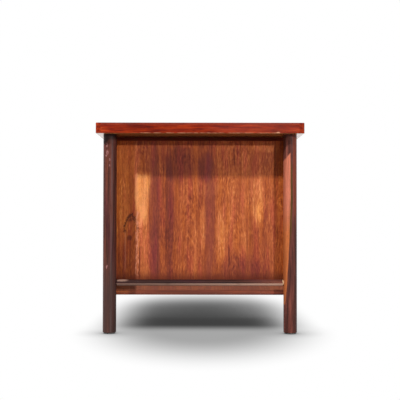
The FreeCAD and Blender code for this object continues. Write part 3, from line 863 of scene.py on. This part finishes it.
def plain_hardwood(name, node, grain, seed, tones):
    """Pale drawer wood with quiet growth lines and darker end grain."""
    wood = Wood(name, grain, seed)
    place = wood.wavered(0.004, 0.08, 0.4, 3.0)
    broad = wood.clouds(0.03, 0.8, 0.0, 2.0, place) - 0.5
    streak = wood.clouds(0.005, 0.4, 4.0, 2.0, place) - 0.5
    hair = wood.clouds(0.0012, 0.15, 8.0, 2.0, place) - 0.5
    ends = abs(wood.facing[AXIS[grain]]).step(0.6, 0.9)
    tone = 0.55 + broad + streak * 0.8 + hair * 0.5 - ends * 0.38
    pores = wood.pores(0.7)
    base = wood.mix(wood.ramp(tone, tones), ink(tones.line), pores * 0.35)
    dress(wood.surface(base, 0.52 + pores * 0.2 + ends * 0.1, hair * 0.4 - pores, BARE_GLOSS), node)


class DESK_OT_drawer_boxes(bpy.types.Operator):
    """Finishes drawer sides, backs, bottoms and the runners"""
    bl_idname = "desk.drawer_boxes"
    bl_label = "Drawer boxes and runners"

    def execute(self, context):
        tones = context.scene.desk_box
        for number, drawer in enumerate(DRAWERS):
            plain_hardwood(f"{drawer}_side_wood", f"{drawer}_sides", "Y", 111.0 + 2 * number, tones)
            plain_hardwood(f"{drawer}_back_wood", f"{drawer}_back", "X", 131.0 + 2 * number, tones)
            self.plywood(f"{drawer}_bottom_ply", f"{drawer}_bottom", 151.0 + 2 * number, tones)
        plain_hardwood("left_runner_wood", "left_runners", "Y", 171.0, tones)
        plain_hardwood("right_runner_wood", "right_runners", "Y", 173.0, tones)
        return {"FINISHED"}

    def plywood(self, name, node, seed, tones):
        """Face veneer with the grain across the drawer, and layers on the cut edges."""
        wood = Wood(name, "X", seed)
        place = wood.wavered(0.006, 0.09, 0.3, 3.0)
        broad = wood.clouds(0.05, 0.7, 0.0, 3.0, place) - 0.5
        hair = wood.clouds(0.002, 0.25, 8.0, 2.0, place) - 0.5
        face = wood.mix(ink(tones.ply), ink(tones.dark), 0.35 + broad * 1.1 + hair * 0.7)
        low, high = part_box(node)
        waves = wood.maths("SINE", (wood.z - low.z) * (PLY_LAYERS * math.pi / (high.z - low.z)))
        layers = wood.mix(ink(tones.ply), ink(tones.ply_dark), waves.step(-0.2, 0.2))
        edge = abs(wood.facing[2]).step(0.7, 0.3)
        base = wood.mix(face, layers, edge)
        dress(wood.surface(base, 0.58 + hair * 0.2, hair, BARE_GLOSS), node)


# Battens, cleats and screws

class DESK_OT_battens(bpy.types.Operator):
    """Finishes the battens in the shadow gap and the cleats behind the modesty panel"""
    bl_idname = "desk.battens"
    bl_label = "Battens and cleats"

    def execute(self, context):
        tones = context.scene.desk_fixing
        for name, node, grain, seed in (("batten_stain_left", "left_battens", "X", 181.0),
                                        ("batten_stain_right", "right_battens", "X", 183.0),
                                        ("cleat_stain", "modesty_cleats", "Z", 185.0)):
            wood = Wood(name, grain, seed)
            streak = wood.clouds(0.004, 0.3, 0.0, 3.0)
            rubbed = wood.clouds(0.03, 0.08, 4.0, 3.0).step(0.5, 0.72)
            base = wood.mix(ink(tones.batten), ink(tones.batten_worn), rubbed * 0.5 + (streak - 0.5) * 0.6)
            pores = wood.pores()
            roughness = 0.5 + rubbed * 0.15 + pores * 0.1
            dress(wood.surface(base, roughness, streak * 0.6 - pores, BARE_GLOSS), node)
        return {"FINISHED"}


# Shape of a screw head: its sides, the taper of the discs and of the slot's floor, and that floor's depth
HEAD_SIDES = 20
HEAD_TAPER = 0.84
FLOOR_TAPER = 0.98
FLOOR_DEPTH = 0.4
# Turn from one screw's slot to the next, and places of the screws along a cleat and a drawer bottom
SLOT_TURN = 0.9
CLEAT_PLACES = (0.12, 0.5, 0.88)
BOTTOM_PLACES = (0.1, 0.37, 0.63, 0.9)


def screw_head(mesh, place, out, turn, sizes):
    """One slotted head: two half discs with a slot between them, over a sunk floor."""
    turned = Vector(out).to_track_quat("Z", "Y").to_matrix().to_4x4() @ Matrix.Rotation(turn, 4, "Z")
    radius, rise = sizes.head / 2, sizes.rise
    made = bmesh.new()
    for half in (1.0, -1.0):
        disc = bmesh.new()
        bmesh.ops.create_cone(disc, cap_ends=True, segments=HEAD_SIDES, radius1=radius,
                              radius2=HEAD_TAPER * radius, depth=2 * rise)
        bmesh.ops.bisect_plane(disc, geom=disc.verts[:] + disc.edges[:] + disc.faces[:], dist=1e-7,
                               plane_co=(0.0, half * sizes.slot / 2, 0.0), plane_no=(0.0, half, 0.0),
                               clear_inner=True)
        bmesh.ops.holes_fill(disc, edges=[e for e in disc.edges if e.is_boundary], sides=0)
        joined(made, disc)
    floor = bmesh.new()
    bmesh.ops.create_cone(floor, cap_ends=True, segments=HEAD_SIDES, radius1=radius,
                          radius2=FLOOR_TAPER * radius, depth=FLOOR_DEPTH * rise)
    joined(made, floor)
    bmesh.ops.recalc_face_normals(made, faces=made.faces)
    bmesh.ops.transform(made, matrix=Matrix.Translation(place) @ turned, verts=made.verts)
    joined(mesh, made)


def joined(mesh, extra):
    """Adds one bmesh to another and frees it."""
    scratch = bpy.data.meshes.new("scratch")
    extra.to_mesh(scratch)
    extra.free()
    mesh.from_mesh(scratch)
    bpy.data.meshes.remove(scratch)


class DESK_OT_screws(bpy.types.Operator):
    """Adds the slotted screws of cleats, base boards and drawer bottoms"""
    bl_idname = "desk.screws"
    bl_label = "Screws"

    def execute(self, context):
        finish = steel("screw_steel", 9.0, context.scene.desk_fixing)
        sizes = context.scene.desk_screw
        low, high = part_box("modesty_cleats")
        heads = []
        for side in (-1, 1):
            for part in CLEAT_PLACES:
                z = low.z + part * (high.z - low.z)
                heads.append(((side * (high.x - sizes.cleat / 2), low.y, z), (0, -1, 0)))
                inner = (side * (high.x - sizes.cleat), low.y + sizes.cleat / 2, z + sizes.stagger)
                heads.append((inner, (-side, 0, 0)))
        self.piece("cleat_screws", heads, finish, "desk_frame")
        heads = []
        for node in ("left_base_board", "right_base_board"):
            low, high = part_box(node)
            for x in (low.x + sizes.board_edge, high.x - sizes.board_edge):
                for y in (-sizes.board_reach, 0.0, sizes.board_reach):
                    heads.append(((x, y, low.z), (0, 0, -1)))
        self.piece("base_board_screws", heads, finish, "desk_frame")
        for drawer in DRAWERS:
            low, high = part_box(f"{drawer}_bottom")
            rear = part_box(f"{drawer}_back")
            y = (rear[0].y + rear[1].y) / 2
            heads = [((low.x + part * (high.x - low.x), y, low.z), (0, 0, -1)) for part in BOTTOM_PLACES]
            self.piece(f"{drawer}_bottom_screws", heads, finish, drawer)
        return {"FINISHED"}

    def piece(self, name, heads, finish, body):
        """One piece with all the screws of a board, riding on its body."""
        mesh = bmesh.new()
        for number, (place, out) in enumerate(heads):
            screw_head(mesh, Vector(place), out, SLOT_TURN * number, bpy.context.scene.desk_screw)
        data = bpy.data.meshes.new(name)
        mesh.to_mesh(data)
        mesh.free()
        data.materials.append(finish)
        made = bpy.data.objects.new(name, data)
        bpy.context.scene.collection.objects.link(made)
        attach(made, body)


# Stage

# Shade on the floor, in metres: its middle across, where it fades at the sides, towards the far end and past
# both ends, how much the far fade bows, and the half sizes and fade of the paler patch before the near end
SHADE_MIDDLE = 0.015
SHADE_SIDES = (0.15, 0.47)
SHADE_TOWARDS_FAR = (0.255, -0.765)
SHADE_FAR_END = (-0.95, -0.62)
SHADE_NEAR_END = (0.62, 0.84)
SHADE_BOW = 1.2
PATCH_SIZES = (0.95, 0.50)
PATCH_FADE = (0.40, 1.02)


class DESK_OT_stage(bpy.types.Operator):
    """Makes the pale floor, the lamps and the camera"""
    bl_idname = "desk.stage"
    bl_label = "Studio"

    def execute(self, context):
        studio = context.scene.desk_studio
        self.floor(studio)
        self.lamp("main_lamp", studio.key, studio.key_from, studio.key_width, studio)
        self.lamp("second_lamp", studio.fill, studio.fill_from, studio.fill_width, studio)
        self.lamp("back_lamp", studio.back, studio.back_from, studio.back_width, studio)
        self.room(context, studio)
        self.camera(context, studio)
        context.scene.view_settings.view_transform = "Standard"
        return {"FINISHED"}

    def seen(self, nodes):
        """1 where the camera looks, straight or by way of a mirror or glass."""
        camera = nodes.node("ShaderNodeLightPath", {}, {}, "Is Camera Ray")
        glossy = nodes.node("ShaderNodeLightPath", {}, {}, "Is Glossy Ray")
        through = nodes.node("ShaderNodeLightPath", {}, {}, "Is Transmission Ray")
        return camera.most(glossy).most(through)

    def floor(self, studio):
        """A wide floor that the camera sees white with the desk's shade, and that sends back little light."""
        mesh = bmesh.new()
        bmesh.ops.create_grid(mesh, x_segments=8, y_segments=8, size=studio.floor_reach)
        bmesh.ops.translate(mesh, verts=mesh.verts, vec=(0.0, 0.0, -studio.floor_drop))
        data = bpy.data.meshes.new("studio_floor")
        mesh.to_mesh(data)
        mesh.free()
        made = bpy.data.objects.new("studio_floor", data)
        bpy.context.scene.collection.objects.link(made)
        paint = Coating("studio_floor_paint")
        shade = paint.mix((0, 0, 0, 1), ink(studio.floor), self.floor_level(paint, studio))
        shown = paint.node("ShaderNodeEmission", {}, {"Color": shade, "Strength": 1.0})
        dim = paint.node("ShaderNodeBsdfDiffuse", {}, {"Color": (studio.bounce,) * 3 + (1.0,)})
        mixed = paint.node("ShaderNodeMixShader", {}, {0: self.seen(paint), 1: dim, 2: shown})
        paint.node("ShaderNodeOutputMaterial", {}, {"Surface": mixed})
        data.materials.append(paint.material)

    def floor_level(self, paint, studio):
        """Level of the floor: dark under the desk, soft past its sides and far end, paler by the near end."""
        aside = abs(paint.y - SHADE_MIDDLE)
        sides = aside.step(*SHADE_SIDES) ** 2
        bowed = paint.x - aside * aside * SHADE_BOW
        behind = bowed.step(*SHADE_TOWARDS_FAR) ** 2 * paint.x.step(*SHADE_FAR_END)
        under = self.open_sky(paint, studio.sky_reach) ** 2.6 * (1 - studio.umbra) + studio.umbra
        under = under + (1 - under) * (sides + behind - sides * behind)
        out = ((paint.x - SHADE_NEAR_END[0]) / PATCH_SIZES[0]) ** 2 + (aside / PATCH_SIZES[1]) ** 2
        outside = (out ** 0.5).step(*PATCH_FADE) * (1 - studio.penumbra) + studio.penumbra
        contact = self.open_sky(paint, studio.contact_reach) ** 1.2
        return (under + (outside - under) * paint.x.step(*SHADE_NEAR_END)) * contact

    def open_sky(self, paint, reach):
        """Share of the sky over a place that nothing within reach covers."""
        return paint.node("ShaderNodeAmbientOcclusion", {"samples": 32}, {"Distance": reach}, "AO")

    def lamp(self, name, level, towards, width, studio):
        """A distant lamp; at level 1 a white card facing it renders white."""
        light = bpy.data.lights.new(name, "SUN")
        light.energy = math.pi * level
        light.angle = width
        made = bpy.data.objects.new(name, light)
        made.location = Vector(towards) * studio.lamp_distance
        made.rotation_mode = "QUATERNION"
        made.rotation_quaternion = Vector(towards).to_track_quat("Z", "Y")
        bpy.context.scene.collection.objects.link(made)

    def room(self, context, studio):
        """Even light from all round, which the camera sees as white."""
        world = bpy.data.worlds.new("studio_room")
        world.use_nodes = True
        nodes = Finish(world.node_tree)
        level = nodes.node("ShaderNodeBackground", {}, {"Color": (1, 1, 1, 1), "Strength": studio.room})
        white = nodes.node("ShaderNodeBackground", {}, {"Color": (1, 1, 1, 1), "Strength": 1.0})
        mixed = nodes.node("ShaderNodeMixShader", {}, {0: self.seen(nodes), 1: level, 2: white})
        nodes.node("ShaderNodeOutputWorld", {}, {"Surface": mixed})
        context.scene.world = world

    def camera(self, context, studio):
        """A camera before the right-hand end, looking along the desk."""
        data = bpy.data.cameras.new("studio_camera")
        data.sensor_width = 36.0
        data.lens = studio.lens
        made = bpy.data.objects.new("studio_camera", data)
        made.location = (studio.camera_distance, 0.0, studio.camera_height)
        turn = Matrix.Rotation(math.pi / 2, 4, "Z") @ Matrix.Rotation(math.pi / 2 + studio.tilt, 4, "X")
        made.rotation_euler = (turn @ Matrix.Rotation(studio.roll, 4, "Z")).to_euler()
        context.scene.collection.objects.link(made)
        context.scene.camera = made


# Add-on

OPERATORS = (DESK_OT_top, DESK_OT_end_frames, DESK_OT_glides, DESK_OT_pedestals, DESK_OT_modesty_panel,
             DESK_OT_drawer_fronts, DESK_OT_pulls, DESK_OT_drawer_boxes, DESK_OT_battens, DESK_OT_screws,
             DESK_OT_stage)


class DESK_PT_sidebar(bpy.types.Panel):
    """Pieces, sizes and colours of the desk"""
    bl_idname = "DESK_PT_sidebar"
    bl_label = "Rosewood desk"
    bl_space_type = "VIEW_3D"
    bl_region_type = "UI"
    bl_category = "Desk"

    def draw(self, context):
        for operator in OPERATORS:
            self.layout.operator(operator.bl_idname)
        for name, group in GROUPS.items():
            box = self.layout.box()
            box.label(text=group.__doc__)
            for key in group.__annotations__:
                box.prop(getattr(context.scene, name), key)


def register():
    for name, group in GROUPS.items():
        bpy.utils.register_class(group)
        setattr(bpy.types.Scene, name, PointerProperty(type=group))
    for operator in OPERATORS:
        bpy.utils.register_class(operator)
    bpy.utils.register_class(DESK_PT_sidebar)


def unregister():
    bpy.utils.unregister_class(DESK_PT_sidebar)
    for operator in reversed(OPERATORS):
        bpy.utils.unregister_class(operator)
    for name, group in reversed(GROUPS.items()):
        delattr(bpy.types.Scene, name)
        bpy.utils.unregister_class(group)


def main():
    register()
    for operator in OPERATORS:
        getattr(bpy.ops.desk, operator.bl_idname.removeprefix("desk."))()


if __name__ == "__main__":
    main()
